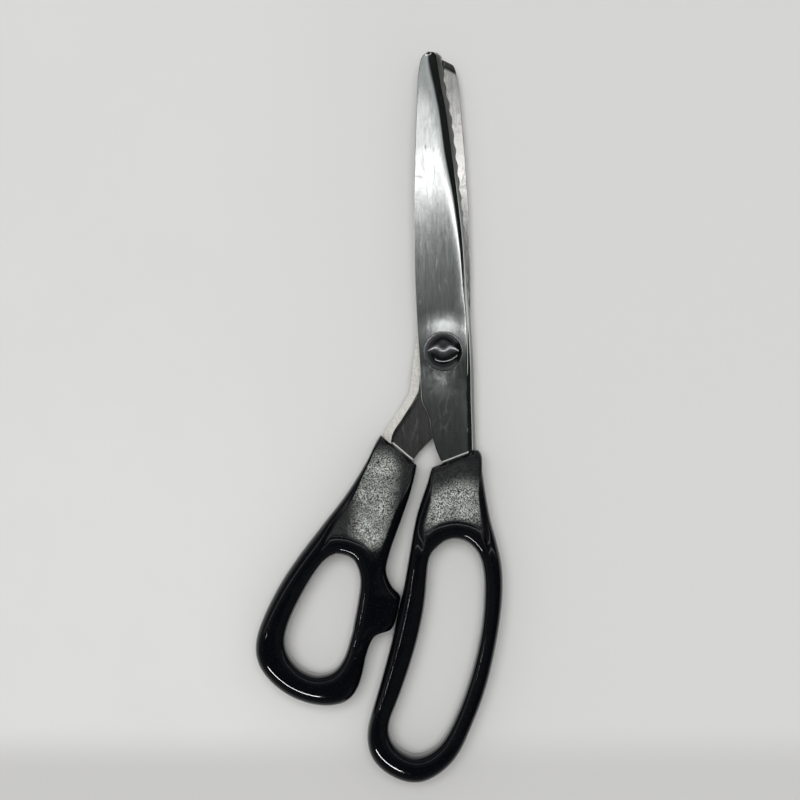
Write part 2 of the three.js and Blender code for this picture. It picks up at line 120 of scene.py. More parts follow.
# Each shank's middle line, and the middle of the peg hole in its tang
UPPER_MIDDLE = ((1.0, -6.0), (3.7, -34.4), (5.5, -54.0))
LOWER_MIDDLE = ((0.0, -6.0), (-13.4, -32.4), (-26.0, -52.0))
UPPER_PEG = (5.2, -46)
LOWER_PEG = (-22.4, -45)


def eased(at, knots, values):
    """A cubic through the values at rising knots. Each knot's slope is the harmonic mean of the slopes
    on either side, or zero where these differ in sign, so the curve never swings past a value."""
    step = np.diff(knots)
    rise = np.diff(values) / step
    both = rise[:-1] * rise[1:]
    safe = np.where(both > 0, rise[:-1] + rise[1:], 1.0)
    inner = np.where(both > 0, 2 * both / safe, 0.0)
    slope = np.concatenate([rise[:1], inner, rise[-1:]])
    k = np.clip(np.searchsorted(knots, at) - 1, 0, len(step) - 1)
    t = (at - knots[k]) / step[k]
    low = values[k] * (1 + 2 * t) * (1 - t) ** 2 + values[k + 1] * t**2 * (3 - 2 * t)
    return low + step[k] * (slope[k] * t * (1 - t) ** 2 - slope[k + 1] * t**2 * (1 - t))


def smooth(t):
    """3t^2 - 2t^3 of t held between 0 and 1."""
    t = np.clip(t, 0, 1)
    return t * t * (3 - 2 * t)


def tooth_wave(x, y):
    """Height of the parting surface: the arcsine of a softened sine of the distance from the pivot,
    and flat where the teeth haven't started and below the pivot."""
    run = np.maximum(np.hypot(x, y) - TEETH_START, 0) * (y > 0)
    wave = np.arcsin(TOOTH_SHARPNESS * np.sin(2 * np.pi * run / TOOTH_PITCH))
    return TOOTH_DEPTH / 2 * wave / np.arcsin(TOOTH_SHARPNESS)


def pad_share(x, y):
    """How high the pad is at a point, from 0 at its rim to 1 on the round seat: a parabola over the
    first three fifths of the way in, and from there a straight slope."""
    t = np.clip((PAD_RADIUS - np.hypot(x, y)) / (PAD_RADIUS - SEAT_RADIUS), 0, 1)
    return np.where(t < 0.6, t * t, 1.2 * t - 0.36) / 0.84


# One blade's section, walked round from the middle of its back edge: for each corner the rounding
# before and after it, and the points on the straight run that leads to it and round the corner
CORNERS = [
    ("back_top", 0.3, 0.3, 3, 5),
    ("ridge", 2.4, 0.7, 38, 16),
    ("foot", 0.25, 0.3, 4, 5),
    ("knee", 0.5, 0.3, 5, 4),
    ("land_out", 0.07, 0.07, 5, 3),
    ("land_in", 0.07, 0.07, 5, 3),
    ("foot_in", 0.5, 0.5, 8, 4),
    ("bend_in", 0.8, 0.8, 3, 6),
    ("back_under", 0.15, 0.15, 26, 4),
]
COLUMNS = sum(run + turn for _, _, _, run, turn in CORNERS)


def sheet_corners(y, plan, out, side):
    """The nine corners of the section at each point's own y, as (across, height) arrays in the blade's
    own sense. The land's two corners slide down the flange's faces to the parting surface."""
    back, ridge, edge = (out * eased(y, plan[:, 0], plan[:, k]) for k in (1, 2, 3))
    wall = np.minimum(FLANGE_WIDTH, np.abs(edge - back) * NARROW_SHARE)
    foot = ridge + (edge - ridge) * FACET_SHARE
    knee = edge - KNEE_BACK
    tip = edge + KNEE_BACK / KNEE_HEIGHT * FLANGE_REACH
    bend = np.maximum(ridge - INNER_BEND_BACK, back + NARROW_PLATE)
    inner_foot = foot - INNER_BEND_SHARE * wall
    inner_z = FACET_FOOT - INNER_BEND_DROP

    def landing(x_high, z_high, x_low):
        z = np.zeros_like(y)
        for _ in range(4):
            x = x_high + (x_low - x_high) * (z_high - z) / (z_high + FLANGE_REACH)
            z = side * tooth_wave(out * x, y) + HALF_GAP
        return x, z

    return {
        "back_top": (back, np.full_like(y, PLATE_TOP)),
        "ridge": (ridge, np.full_like(y, PLATE_TOP)),
        "foot": (foot, np.full_like(y, FACET_FOOT)),
        "knee": (knee, np.full_like(y, KNEE_HEIGHT)),
        "land_out": landing(knee, KNEE_HEIGHT, tip),
        "land_in": landing(inner_foot, inner_z, tip - wall),
        "foot_in": (inner_foot, np.full_like(y, inner_z)),
        "bend_in": (bend, np.full_like(y, PLATE_TOP - SHEET)),
        "back_under": (back, np.full_like(y, PLATE_TOP - SHEET)),
    }


def sheet_section(y, plan, out, side):
    """Across and height of every grid point, each from the section at its own y: straight runs between
    the corners, and a quadratic Bezier round each corner."""
    corner = sheet_corners(y, plan, out, side)
    across, height = np.zeros_like(y), np.zeros_like(y)

    def toward(a, b, far, cols):
        ax, az = (v[:, cols] for v in corner[a])
        bx, bz = (v[:, cols] for v in corner[b])
        length = np.hypot(bx - ax, bz - az) + 1e-9
        share = np.minimum(far / length, 0.48)
        return ax + (bx - ax) * share, az + (bz - az) * share

    at = 0
    for k, (name, before, after, run, turn) in enumerate(CORNERS):
        last, _, last_after, _, _ = CORNERS[k - 1]
        after_next = CORNERS[(k + 1) % len(CORNERS)][0]
        cols = slice(at, at + run)
        t = (np.arange(run) / run)[None, :]
        sx, sz = toward(last, name, last_after, cols)
        ex, ez = toward(name, last, before, cols)
        across[:, cols] = sx + (ex - sx) * t
        height[:, cols] = sz + (ez - sz) * t
        cols = slice(at + run, at + run + turn)
        t = (np.arange(turn) / turn)[None, :]
        sx, sz = toward(name, last, before, cols)
        ex, ez = toward(name, after_next, after, cols)
        mx, mz = (v[:, cols] for v in corner[name])
        across[:, cols] = sx * (1 - t) ** 2 + 2 * mx * t * (1 - t) + ex * t * t
        height[:, cols] = sz * (1 - t) ** 2 + 2 * mz * t * (1 - t) + ez * t * t
        at += run + turn
    return across, height


def column_mask(name, spread):
    """1 at the middle of one corner's columns, falling off over so many columns on either side."""
    before = [c[0] for c in CORNERS].index(name)
    start = sum(c[3] + c[4] for c in CORNERS[:before])
    middle = start + CORNERS[before][3] + CORNERS[before][4] / 2
    return np.exp(-(((np.arange(COLUMNS) - middle) / spread) ** 2))


def column_run(first, last):
    """1 on the columns from the run that leads to one corner up to the end of another, else 0."""
    names = [c[0] for c in CORNERS]
    start = sum(c[3] + c[4] for c in CORNERS[: names.index(first)])
    stop = sum(c[3] + c[4] for c in CORNERS[: names.index(last) + 1])
    return ((np.arange(COLUMNS) >= start) & (np.arange(COLUMNS) < stop)).astype(float)


def grid_faces(rows, columns, closed):
    """Quads of a grid whose columns join into loops, and whose rows do too where it is closed."""
    i = np.arange(rows if closed else rows - 1)[:, None]
    j = np.arange(columns)[None, :]
    a, b = i * columns + j, i * columns + (j + 1) % columns
    c, d = ((i + 1) % rows) * columns + (j + 1) % columns, ((i + 1) % rows) * columns + j
    return np.stack([a, b, c, d], axis=-1).reshape(-1, 4)


def piece(name, points, faces, material, **attributes):
    """A mesh object from points in millimetres about the pivot, moved to the row frame in metres. The
    faces are turned round if they enclose a negative volume, summed as the triple products of a fan."""
    faces = [list(f) for f in faces]
    quads = np.array([f[:3] + f[-1:] for f in faces if len(f) <= 4])
    a, b, c, d = (points[quads[:, k]] for k in range(4))
    volume = np.sum(a * np.cross(b, c)) + np.sum(a * np.cross(c, d))
    if volume < 0:
        faces = [f[::-1] for f in faces]
    mesh = bpy.data.meshes.new(name)
    mesh.from_pydata((points + PIVOT) * MM, [], faces)
    for key, values in attributes.items():
        vector = values.ndim == 2
        layer = mesh.attributes.new(key, "FLOAT_VECTOR" if vector else "FLOAT", "POINT")
        layer.data.foreach_set("vector" if vector else "value", values.ravel().astype(np.float32))
    mesh.polygons.foreach_set("use_smooth", np.ones(len(mesh.polygons), dtype=bool))
    mesh.set_sharp_from_angle(angle=np.radians(38))
    mesh.materials.append(material)
    obj = bpy.data.objects.new(name, mesh)
    bpy.context.scene.collection.objects.link(obj)
    return obj


def drum(name, radius, half_height, middle, material):
    """A round cutter that stands as far above the pivot's z = 0 as below it."""
    columns = 48
    turn = np.arange(columns) / columns * 2 * np.pi
    x, y = middle[0] + radius * np.cos(turn), middle[1] + radius * np.sin(turn)
    points = [np.stack([x, y, np.full(columns, z)], axis=-1) for z in (-half_height, half_height)]
    ends = [list(range(columns))[::-1], list(range(columns, 2 * columns))]
    return piece(name, np.concatenate(points), grid_faces(2, columns, False).tolist() + ends, material)


def cut(obj, cutters):
    """Takes the cutters' volume out of the piece, and removes the cutters."""
    for cutter in cutters:
        change = obj.modifiers.new("cut", "BOOLEAN")
        change.object, change.solver = cutter, "EXACT"
    graph = bpy.context.evaluated_depsgraph_get()
    shown = obj.evaluated_get(graph)
    mesh = bpy.data.meshes.new_from_object(shown, preserve_all_data_layers=True, depsgraph=graph)
    obj.modifiers.clear()
    obj.data = mesh
    for cutter in cutters:
        bpy.data.objects.remove(cutter)
    return obj


def rows_along(tip, end, shoulder):
    """Where a blade's rows lie: close together at the tip and at the shoulder, and closer round the pad
    than elsewhere."""
    return np.concatenate([
        tip - np.array([0, 0.05, 0.15, 0.3, 0.5, 0.75, 1.0, 1.3, 1.6]),
        np.arange(tip - 2.0, PAD_RADIUS, -0.34),
        np.arange(PAD_RADIUS, -PAD_RADIUS, -0.27),
        np.arange(-PAD_RADIUS, shoulder + 0.9, -0.6),
        shoulder + np.array([0.8, 0.65, 0.5, 0.38, 0.26, 0.15, 0.06, 0.0, -0.01]),
        np.arange(shoulder - 0.4, end + 0.1, -0.8),
        [end],
    ])


def blade(name, rows, side, out, mouth, middle, peg, material):
    """A blade as a grid: rows from the tip to the tang's end, which turn to run along the handle's
    mouth as they near it, and columns round the section."""
    plan = np.array(sorted(rows))
    _, mouth_y, slope = mouth
    end, tip = plan[0, 0], plan[-1, 0]
    lead = (middle[1][0] - middle[0][0]) / (middle[1][1] - middle[0][1])
    shoulder = mouth_y + POCKET_CLEARANCE * np.hypot(1, slope) / (1 - slope * lead)
    rows_at = rows_along(tip, end, shoulder)
    count = len(rows_at)
    s = np.repeat(rows_at[:, None], COLUMNS, axis=1)
    turned = slope * smooth((TURN_FROM - s) / (TURN_FROM - (mouth_y + TURN_DONE)))
    centre = np.interp(s, [m[1] for m in middle[::-1]], [m[0] for m in middle[::-1]])
    y = s.copy()
    for _ in range(8):
        across, height = sheet_section(y, plan, out, side)
        y = np.clip(s + turned * (out * across - centre), end, tip)
    x = out * across
    top = column_run("back_top", "ridge")
    inside = column_run("bend_in", "back_under")
    height += top * PAD_RISE * pad_share(x, y)
    # The plate's back half waves by about 0.1 mm: up towards the pad, down towards the tip
    height -= top * 0.0034 * (y - 45) * smooth((45 - np.abs(y - 42)) / 20) * smooth((-1 - across) / 5)
    height -= inside * PLATE_RISE * (1 - smooth((np.hypot(x, y) - BOSS_RADIUS) / 0.8))
    # The sawn shoulder at the handle is eased over its last half millimetre
    bare = s > shoulder - 0.005
    lip = np.clip((shoulder + LIP_LENGTH - s) / LIP_LENGTH, 0, 1) * bare
    height -= top * 0.2 * lip**2
    if side < 0:
        # The lower blade's inner face is ground off along its slanted end
        from_end = (92.4 + (3.5 - x) * 0.53 - y) * 0.88
        height += column_run("foot_in", "back_under") * 0.5 * np.clip(1 - from_end / 2.3, 0, 1) ** 2
    height = np.where(bare, height, np.minimum(height, TANG_TOP))
    points = np.stack([x, y, side * height], axis=-1)
    faces = grid_faces(count, COLUMNS, False).tolist()
    last_row = (count - 1) * COLUMNS
    faces += [list(range(COLUMNS)), list(range(last_row, last_row + COLUMNS))[::-1]]
    way = np.stack([across + 0.6 * height, s, height], axis=-1)
    # A painted highlight along the back edge, the ridge and the land's outer corner, partly burnish wear
    worn = sum(column_mask(n, w) for n, w in (("back_top", 1.6), ("ridge", 5), ("land_out", 1.6)))
    obj = piece(
        name, points.reshape(-1, 3), faces, material,
        way=way.reshape(-1, 3),
        worn=np.tile(worn, count),
        flank=np.tile(column_run("knee", "land_out"), count),
        land=np.tile(column_run("land_in", "land_in"), count),
        # The shoulder's edge, painted pale as a line of light
        lip=((top + inside) * lip).ravel(),
        # The dull patch below the screw, also painted paler for a haze of light there
        dulled=(top * np.exp(-(((x + 1.5) / 5.5) ** 2) - ((y + 8.2) / 4.4) ** 2) * (y < 0)).ravel(),
    )
    return cut(obj, [
        drum("screw_hole", SCREW_HOLE, CUT_THROUGH, (0, 0), material),
        drum("washer_recess", WASHER_RECESS, WASHER_RECESS_DEPTH, (0, 0), material),
        drum("peg_hole", PEG_HOLE, CUT_THROUGH, peg, material),
    ])


# Shared surface effects, each a node group that reads a position and gives a mask
def add(tree, kind, links=(), **values):
    """A node with its settings, its unlinked sockets' values by number, and its links as
    {input number: source socket}."""
    made = tree.nodes.new(kind)
    for key, value in values.items():
        if key.startswith("in_"):
            made.inputs[int(key[3:])].default_value = value
        else:
            setattr(made, key, value)
    for number, source in dict(links).items():
        tree.links.new(source, made.inputs[number])
    return made


def maths(tree, operation, a, b=None, c=None):
    """A Math node: each argument is a number or a socket."""
    made = tree.nodes.new("ShaderNodeMath")
    made.operation = operation
    for k, value in enumerate((a, b, c)):
        if value is None:
            continue
        if isinstance(value, (int, float)):
            made.inputs[k].default_value = value
        else:
            tree.links.new(value, made.inputs[k])
    return made.outputs[0]


def blend_colour(tree, share, a, b):
    """Colour a where the share is 0 and b where it is 1; each is a colour or a socket."""
    made = tree.nodes.new("ShaderNodeMix")
    made.data_type = "RGBA"
    for k, value in ((0, share), (6, a), (7, b)):
        if isinstance(value, (int, float, tuple)):
            made.inputs[k].default_value = value
        else:
            tree.links.new(value, made.inputs[k])
    return made.outputs[2]


def ramp(tree, value, low, high):
    """0 below low, 1 above high, and eased between."""
    made = add(tree, "ShaderNodeMapRange", {0: value}, interpolation_type="SMOOTHSTEP", in_1=low, in_2=high)
    return made.outputs[0]


def new_group(name, **numbers):
    """A node group with a Position, the given numbers and a Mask, and its input node."""
    group = bpy.data.node_groups.new(name, "ShaderNodeTree")
    group.interface.new_socket("Position", in_out="INPUT", socket_type="NodeSocketVector")
    for key, value in numbers.items():
        number = group.interface.new_socket(key, in_out="INPUT", socket_type="NodeSocketFloat")
        number.default_value = value
    group.interface.new_socket("Mask", in_out="OUTPUT", socket_type="NodeSocketFloat")
    return group, group.nodes.new("NodeGroupInput")


def give_mask(group, value):
    """Ends a group with the value as its Mask."""
    group.links.new(value, group.nodes.new("NodeGroupOutput").inputs["Mask"])


def stretched(group, inside):
    """The position, drawn out along its second axis by the group's Length."""
    split = add(group, "ShaderNodeSeparateXYZ", {0: inside.outputs["Position"]})
    along = maths(group, "DIVIDE", split.outputs[1], inside.outputs["Length"])
    joined = add(group, "ShaderNodeCombineXYZ", {0: split.outputs[0], 1: along, 2: split.outputs[2]})
    return joined.outputs[0]


streaks, inside = new_group("drawn_streaks", Fineness=4.0, Length=12.0)
drawn = stretched(streaks, inside)
fine = add(streaks, "ShaderNodeTexNoise", {0: drawn, 2: inside.outputs["Fineness"]}, in_3=3.0)
broad_scale = maths(streaks, "MULTIPLY", inside.outputs["Fineness"], 0.23)
broad = add(streaks, "ShaderNodeTexNoise", {0: drawn, 2: broad_scale}, in_3=1.0)
both = maths(streaks, "MULTIPLY", broad.outputs[0], 0.35)
give_mask(streaks, maths(streaks, "MULTIPLY_ADD", fine.outputs[0], 0.65, both))

scratches, inside = new_group("stray_scratches", Spacing=6.0)
total = None
for turn, stretch, seed in ((0.35, 0.16, 3.0), (-0.8, 0.2, 11.0), (1.4, 0.28, 23.0)):
    placed = add(
        scratches, "ShaderNodeMapping", {0: inside.outputs["Position"]},
        in_1=(seed, seed, 0.0), in_2=(0.0, 0.0, turn), in_3=(1.0, stretch, 1.0),
    )
    size = maths(scratches, "DIVIDE", 1.0, inside.outputs["Spacing"])
    cells = add(
        scratches, "ShaderNodeTexVoronoi", {0: placed.outputs[0], 2: size}, feature="DISTANCE_TO_EDGE",
    )
    line = ramp(scratches, cells.outputs[0], 0.02, 0.0)
    patchy = 0.19 + 0.03 * turn
    gate = add(scratches, "ShaderNodeTexNoise", {0: inside.outputs["Position"]}, in_2=patchy, in_3=1.0)
    line = maths(scratches, "MULTIPLY", line, ramp(scratches, gate.outputs[0], 0.52, 0.66))
    total = line if total is None else maths(scratches, "MAXIMUM", total, line)
give_mask(scratches, total)

clouds, inside = new_group("handling_clouds", Size=8.0)
size = maths(clouds, "DIVIDE", 1.0, inside.outputs["Size"])
soft = add(clouds, "ShaderNodeTexNoise", {0: inside.outputs["Position"], 2: size}, in_3=4.0, in_4=0.62)
give_mask(clouds, ramp(clouds, soft.outputs[0], 0.35, 0.68))

nicks, inside = new_group("small_nicks", Spacing=2.0, Length=3.0)
size = maths(nicks, "DIVIDE", 1.0, inside.outputs["Spacing"])
cells = add(nicks, "ShaderNodeTexVoronoi", {0: stretched(nicks, inside), 2: size})
chosen = ramp(nicks, cells.outputs[1], 0.5, 0.75)
give_mask(nicks, maths(nicks, "MULTIPLY", ramp(nicks, cells.outputs[0], 0.24, 0.08), chosen))


def use(tree, group, position, **values):
    """Places a group and gives its Mask."""
    made = tree.nodes.new("ShaderNodeGroup")
    made.node_tree = group
    tree.links.new(position, made.inputs["Position"])
    for key, value in values.items():
        made.inputs[key].default_value = value
    return made.outputs["Mask"]


def new_material(name):
    """A material, its node tree and its Principled shader."""
    material = bpy.data.materials.new(name)
    material.use_nodes = True
    return material, material.node_tree, material.node_tree.nodes["Principled BSDF"]


def millimetres(tree):
    """Object coordinates in millimetres."""
    place = tree.nodes.new("ShaderNodeTexCoord").outputs["Object"]
    return add(tree, "ShaderNodeVectorMath", {0: place}, operation="SCALE", in_3=1000.0).outputs[0]


def bump(tree, shader, height, strength, distance, under=None):
    """Bumps the shader by a height, over another bump if one is given."""
    made = add(tree, "ShaderNodeBump", {"Height": height}, in_0=strength, in_1=distance)
    if under is not None:
        tree.links.new(under, made.inputs["Normal"])
    tree.links.new(made.outputs[0], shader.inputs["Normal"])
    return made.outputs[0]


def blade_steel(name, plate, dull, bright, rough, uneven):
    """Polished steel: lengthwise streaks, faint stains, small nicks and a few stray scratches. The
    bends are burnished, with a painted highlight along them; the flange is coarsely ground and painted
    darker as shade; the land is pale and grainy; below the screw the plate is dull and painted paler for a
    haze of light; and the shoulder at the handle is a bare sawn edge, painted pale as a line of light.
    uneven, from 0 to 1, is how blotched and pitted the steel is all over."""
    material, tree, shader = new_material(name)
    way = add(tree, "ShaderNodeAttribute", attribute_name="way").outputs["Vector"]
    worn, flank, land, lip, dulled = (
        add(tree, "ShaderNodeAttribute", attribute_name=key).outputs["Fac"]
        for key in ("worn", "flank", "land", "lip", "dulled")
    )
    grain = use(tree, streaks, way, Fineness=4.5, Length=20.0)
    wide = use(tree, streaks, way, Fineness=1.4, Length=8.0)
    stain = use(tree, clouds, way, Size=7.0)
    lines = use(tree, scratches, way, Spacing=9.0)
    spots = use(tree, nicks, way, Spacing=1.7, Length=2.6)
    mottle = use(tree, clouds, way, Size=0.9)
    haze = use(tree, clouds, way, Size=3.5)
    blotch = use(tree, clouds, way, Size=2.0)
    # The patch below the screw is dull, and painted paler as a haze of light
    dull_and_painted_haze_now = maths(tree, "MULTIPLY", dulled, maths(tree, "MULTIPLY_ADD", haze, 0.7, 0.3))
    sawn_edge_and_highlight = ramp(tree, lip, 0.05, 0.35)
    streaked = ramp(tree, grain, 0.36, 0.66)
    colour = blend_colour(tree, stain, plate, dull)
    colour = blend_colour(tree, maths(tree, "MULTIPLY", blotch, uneven), colour, dull)
    colour = blend_colour(tree, maths(tree, "MULTIPLY", streaked, 0.35), colour, bright)
    colour = blend_colour(tree, maths(tree, "MULTIPLY", lines, 0.2), colour, bright)
    # A painted highlight brightens the bends and edges, partly burnish wear
    colour = blend_colour(tree, maths(tree, "MULTIPLY", worn, 0.5), colour, bright)
    # Painted shade: the flange's colour is darkened, beside its ground finish
    colour = blend_colour(tree, maths(tree, "MULTIPLY", flank, 0.9), colour, (0.28, 0.29, 0.28, 1))
    grainy = blend_colour(tree, mottle, (0.80, 0.78, 0.73, 1), (0.62, 0.61, 0.57, 1))
    colour = blend_colour(tree, land, colour, grainy)
    # The shoulder's bare sawn edge, painted pale as a line of light
    colour = blend_colour(tree, sawn_edge_and_highlight, colour, (0.78, 0.77, 0.74, 1))
    # Painted light: the patch below the screw turns pale
    colour = blend_colour(tree, maths(tree, "MULTIPLY", dull_and_painted_haze_now, 0.6), colour, (0.62, 0.68, 0.66, 1))
    tree.links.new(colour, shader.inputs["Base Color"])
    pale = maths(tree, "MAXIMUM", sawn_edge_and_highlight, land)
    pale = maths(tree, "MAXIMUM", pale, maths(tree, "MULTIPLY", dull_and_painted_haze_now, 0.34))
    tree.links.new(maths(tree, "MULTIPLY_ADD", pale, -0.8, 1.0), shader.inputs["Metallic"])
    amount = maths(tree, "MULTIPLY_ADD", grain, 0.09, rough)
    amount = maths(tree, "MULTIPLY_ADD", stain, 0.015, amount)
    amount = maths(tree, "MULTIPLY_ADD", spots, 0.10, amount)
    amount = maths(tree, "MULTIPLY_ADD", lines, 0.06, amount)
    amount = maths(tree, "MULTIPLY_ADD", maths(tree, "MAXIMUM", flank, land), 0.34, amount)
    amount = maths(tree, "MULTIPLY_ADD", dull_and_painted_haze_now, 0.16, amount)
    tree.links.new(amount, shader.inputs["Roughness"])
    high = maths(tree, "MULTIPLY_ADD", wide, 1.6, maths(tree, "MULTIPLY", grain, 0.5))
    high = maths(tree, "MULTIPLY_ADD", mottle, 0.03 + 0.1 * uneven, high)
    high = maths(tree, "MULTIPLY_ADD", maths(tree, "MULTIPLY", dulled, haze), 0.8, high)
    bump(tree, shader, high, 0.3, 0.00005)
    return material


upper_steel = blade_steel(
    "upper_blade_steel", (0.65, 0.68, 0.66, 1), (0.55, 0.59, 0.57, 1), (0.85, 0.86, 0.86, 1), 0.065, 0.1,
)
lower_steel = blade_steel(
    "lower_blade_steel", (0.67, 0.67, 0.65, 1), (0.50, 0.50, 0.48, 1), (0.86, 0.85, 0.82, 1), 0.08, 0.8,
)

shared = [(share * BLADE_LENGTH, *xs) for share, *xs in BLADE_PLAN]
upper_rows = [(share * BLADE_LENGTH, *xs) for share, *xs in UPPER_TIP] + shared + UPPER_SHANK
turned_over = [(y, *(-x - 2 * LEAN * (y - LEAN_HEIGHT) for x in xs)) for y, *xs in shared]
lower_rows = [(share * BLADE_LENGTH, *xs) for share, *xs in LOWER_TIP] + turned_over + LOWER_SHANK
upper_blade = blade(
    "upper_blade_sheet", upper_rows, 1, 1, UPPER_MOUTH, UPPER_MIDDLE, UPPER_PEG, upper_steel,
)
lower_blade = blade(
    "lower_blade_sheet", lower_rows, -1, -1, LOWER_MOUTH, LOWER_MIDDLE, LOWER_PEG, lower_steel,
)
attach(upper_blade, "upper_half")
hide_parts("upper_blade")
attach(lower_blade, "lower_half")
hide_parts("lower_blade")


# The pivot. A polished screw with a domed head clamps both blades, with a thin bright washer on the
# pad, a ring between the blades, and a coned spring washer and a hexagon nut underneath.
def turned_piece(name, profile, columns, material, shape=None):
    """A closed round piece from its (radius, height) profile, carried once round the pivot axis.
    shape may move the points."""
    profile = np.array(profile, dtype=float)
    turn = np.arange(columns) / columns * 2 * np.pi
    r, z = profile[:, :1], profile[:, 1:]
    points = np.stack([r * np.cos(turn), r * np.sin(turn), z + 0 * turn], axis=-1)
    if shape is not None:
        points = shape(points)
    rows = len(profile)
    hollow = profile[0, 0] > 0 and profile[-1, 0] > 0
    faces = grid_faces(rows, columns, hollow).tolist()
    if not hollow:
        faces += [list(range(columns)), list(range((rows - 1) * columns, rows * columns))[::-1]]
    return piece(name, points.reshape(-1, 3), faces, material)


def rounded(profile, radius, steps):
    """The profile with each inner corner swapped for a quadratic Bezier that starts and ends the
    radius away from it, or less on a short side."""
    profile = np.array(profile, dtype=float)
    made = [profile[0]]
    for before, here, after in zip(profile, profile[1:], profile[2:]):
        a = here + (before - here) * min(radius / np.hypot(*(before - here)), 0.49)
        b = here + (after - here) * min(radius / np.hypot(*(after - here)), 0.49)
        t = np.linspace(0, 1, steps)[:, None]
        made += list(a * (1 - t) ** 2 + 2 * here * t * (1 - t) + b * t * t)
    return np.array(made + [profile[-1]])


def screw_steel(name, plain, rough):
    """Polished steel, bright or darkened by its plain colour, with a trace of turning marks, handling
    clouds and a few scratches.
    """
    material, tree, shader = new_material(name)
    place = millimetres(tree)
    haze = use(tree, clouds, place, Size=2.4)
    lines = use(tree, scratches, place, Spacing=2.5)
    dull = tuple(v * 0.8 for v in plain[:3]) + (1,)
    colour = blend_colour(tree, haze, plain, dull)
    tree.links.new(colour, shader.inputs["Base Color"])
    shader.inputs["Metallic"].default_value = 1.0
    amount = maths(tree, "MULTIPLY_ADD", haze, 0.06, rough)
    tree.links.new(maths(tree, "MULTIPLY_ADD", lines, 0.15, amount), shader.inputs["Roughness"])
    bump(tree, shader, maths(tree, "MULTIPLY_ADD", lines, -0.4, haze), 0.25, 0.00002)
    return material


# The head and nut get darkened steel: painted shade for the dark that the polished dome mirrors
head_steel = screw_steel("screw_head_steel", (0.30, 0.30, 0.31, 1), 0.07)
washer_steel = screw_steel("washer_steel", (0.66, 0.67, 0.67, 1), 0.22)
spring_steel = screw_steel("spring_washer_steel", (0.50, 0.52, 0.54, 1), 0.26)

SEAT = PLATE_TOP + 0.2
STACK_CLEARANCE = 0.1
SHANK_RADIUS = 3.5
HEAD_RADIUS = 5.95
HEAD_FOOT = SEAT + 0.7
DOME_EDGE = 0.85
DOME_RISE = 1.45
DENT_DEPTH = 0.28
HEAD_WASHER_RADIUS = 6.25
HEAD_WASHER_THICKNESS = 0.5
BLADE_WASHER_RADIUS = 5.2
BLADE_WASHER_THICKNESS = 0.6
SPRING_WASHER_RADIUS = 5.4
SPRING_FOOT = -SEAT - 0.9
NUT_TOP = SPRING_FOOT - STACK_CLEARANCE
NUT_FOOT = NUT_TOP - 2.0
NUT_HALF_WIDTH = 5.0
NUT_CORNER = 6.2


def crowned(points):
    """Lifts the head's top to its crown, which falls from the middle with the fourth power of the
    radius. A shallow dent, a bell curve of the distance from its middle, is sunk into the +Y side."""
    x, y, z = points[..., 0], points[..., 1], points[..., 2]
    fall = (np.hypot(x, y) / HEAD_RADIUS) ** 4
    dent = DENT_DEPTH * np.exp(-((x / 1.9) ** 2 + ((y - 2.9) / 2.1) ** 2))
    rise = DOME_RISE * (1 - fall) - dent * (1 - fall**2)
    return np.stack([x, y, np.where(z > HEAD_FOOT + DOME_EDGE - 0.01, z + rise, z)], axis=-1)


def flat_ring(name, rim, low, high, radius, columns):
    """A flat washer round the screw, its edges rounded."""
    hole = SCREW_HOLE
    profile = [(hole, (low + high) / 2), (hole, low), (rim, low), (rim, high), (hole, high)]
    return turned_piece(name, rounded([*profile, profile[0]], radius, 4)[:-1], columns, washer_steel)


r = HEAD_RADIUS * np.cos(np.linspace(0, np.pi / 2, 60))[:-1]
crown = np.stack([r, np.full_like(r, HEAD_FOOT + DOME_EDGE)], axis=-1)
shank = rounded(
    [
        (0.02, NUT_FOOT + 0.3), (SHANK_RADIUS - 0.3, NUT_FOOT + 0.3), (SHANK_RADIUS, NUT_FOOT + 0.6),
        (SHANK_RADIUS, HEAD_FOOT), (HEAD_RADIUS - 0.15, HEAD_FOOT), (HEAD_RADIUS, HEAD_FOOT + 0.15),
    ],
    0.1, 4,
)
top = (0.02, HEAD_FOOT + DOME_EDGE)
screw = turned_piece("pivot_screw_dome", [*shank, *crown, top], 128, head_steel, crowned)
washer_foot = SEAT + STACK_CLEARANCE
washer_top = washer_foot + HEAD_WASHER_THICKNESS
head_washer = flat_ring("head_washer_ring", HEAD_WASHER_RADIUS, washer_foot, washer_top, 0.12, 96)
half = BLADE_WASHER_THICKNESS / 2
blade_washer = flat_ring("blade_washer_ring", BLADE_WASHER_RADIUS, -half, half, 0.08, 64)
spring_washer = turned_piece(
    "spring_washer_cone",
    rounded(
        [
            (SCREW_HOLE, SPRING_FOOT + 0.55), (SCREW_HOLE, SPRING_FOOT + 0.3),
            (SPRING_WASHER_RADIUS, SPRING_FOOT), (SPRING_WASHER_RADIUS, SPRING_FOOT + 0.5),
            (SCREW_HOLE, SPRING_FOOT + 0.8), (SCREW_HOLE, SPRING_FOOT + 0.55),
        ],
        0.08, 4,
    )[:-1],
    64, spring_steel,
)


def hexagonal(points):
    """Pulls the round points in to a hexagon: the distance to the flat along each direction."""
    x, y, z = points[..., 0], points[..., 1], points[..., 2]
    angle = np.arctan2(y, x)
    off = (angle + np.pi / 6) % (np.pi / 3) - np.pi / 6
    r = np.hypot(x, y)
    flat = NUT_HALF_WIDTH / np.cos(off)
    kept = np.where(r > 4.5, np.minimum(r, flat), r)
    return np.stack([x * kept / r, y * kept / r, z], axis=-1)


